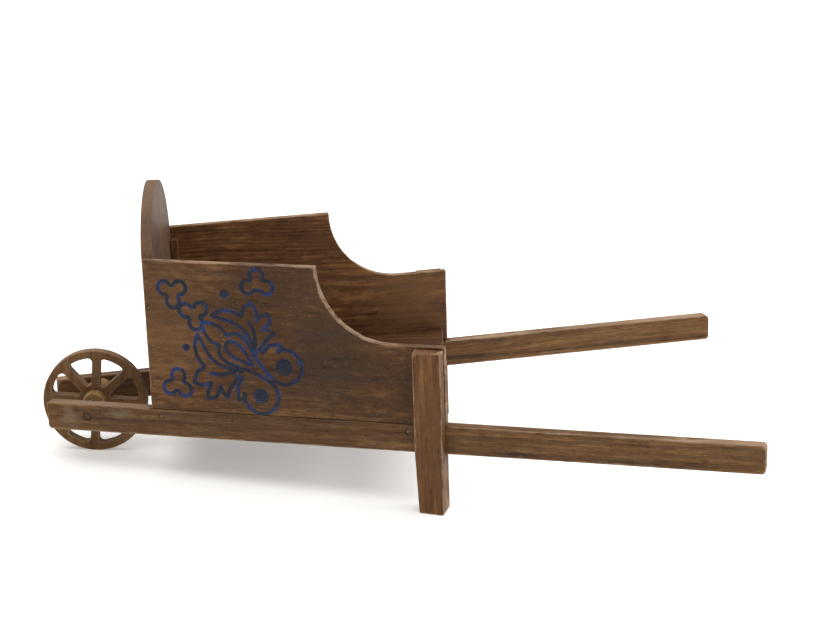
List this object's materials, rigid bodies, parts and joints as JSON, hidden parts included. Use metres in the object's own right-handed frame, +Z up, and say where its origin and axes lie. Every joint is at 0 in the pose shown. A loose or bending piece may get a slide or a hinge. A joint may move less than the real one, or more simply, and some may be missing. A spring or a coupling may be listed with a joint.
{
  "type": "toy wheelbarrow",
  "caption": "Wooden doll's barrow: splayed shafts ending in handles, an open-backed tray with scooped sides and an arched headboard, side legs, and a spoked disc wheel at the nose.",
  "frame": {"origin": "on the ground, under the middle of the whole cart's bounding box", "axes": "+Z up, +X towards the handles, -X towards the wheel, +Y to the pusher's right"},
  "size_m": [0.675, 0.4202, 0.2719],
  "materials": {
    "shaft_wood": "brown-stained softwood, worn at the arrises",
    "panel_wood": "brown-stained board, satin, lighter on worn edges",
    "wheel_wood": "stained plywood, fretsawn, dull",
    "hub_wood": "pale turned wood, lightly stained",
    "dowel_wood": "bare birch dowel",
    "steel": "dull wire nail",
    "motif_paint": "hand-brushed dark blue paint, worn through in places"
  },
  "bodies": {
    "barrow": {"left_shaft": "shaft_wood", "right_shaft": "shaft_wood", "left_leg": "shaft_wood", "right_leg": "shaft_wood", "left_corner_batten": "shaft_wood", "right_corner_batten": "shaft_wood", "front_bearer": "shaft_wood", "rear_bearer": "shaft_wood", "left_side_panel": "panel_wood", "right_side_panel": "panel_wood", "headboard": "panel_wood", "floor_board_left": "panel_wood", "floor_board_middle": "panel_wood", "floor_board_right": "panel_wood", "axle": "dowel_wood", "left_panel_dowel_1": "dowel_wood", "left_panel_dowel_2": "dowel_wood", "left_panel_dowel_3": "dowel_wood", "right_panel_dowel_1": "dowel_wood", "right_panel_dowel_2": "dowel_wood", "right_panel_dowel_3": "dowel_wood", "left_headboard_nail_1": "steel", "left_headboard_nail_2": "steel", "left_headboard_nail_3": "steel", "right_headboard_nail_1": "steel", "right_headboard_nail_2": "steel", "right_headboard_nail_3": "steel", "left_front_bearer_nail": "steel", "left_rear_bearer_nail": "steel", "right_front_bearer_nail": "steel", "right_rear_bearer_nail": "steel", "left_leg_nail": "steel", "left_leg_screw": "steel", "right_leg_nail": "steel", "right_leg_screw": "steel", "floor_nail_front_left": "steel", "floor_nail_front_middle": "steel", "floor_nail_front_right": "steel", "floor_nail_rear_left": "steel", "floor_nail_rear_middle": "steel", "floor_nail_rear_right": "steel"},
    "wheel_set": {"wheel": "wheel_wood", "left_hub": "hub_wood", "right_hub": "hub_wood"}
  },
  "joints": [
    {"name": "wheel_spin", "type": "hinge", "parent": "barrow", "child": "wheel_set", "pos_m": [-0.28654, 0, 0.051], "axis": [0, 1, 0], "continuous": true}
  ]
}
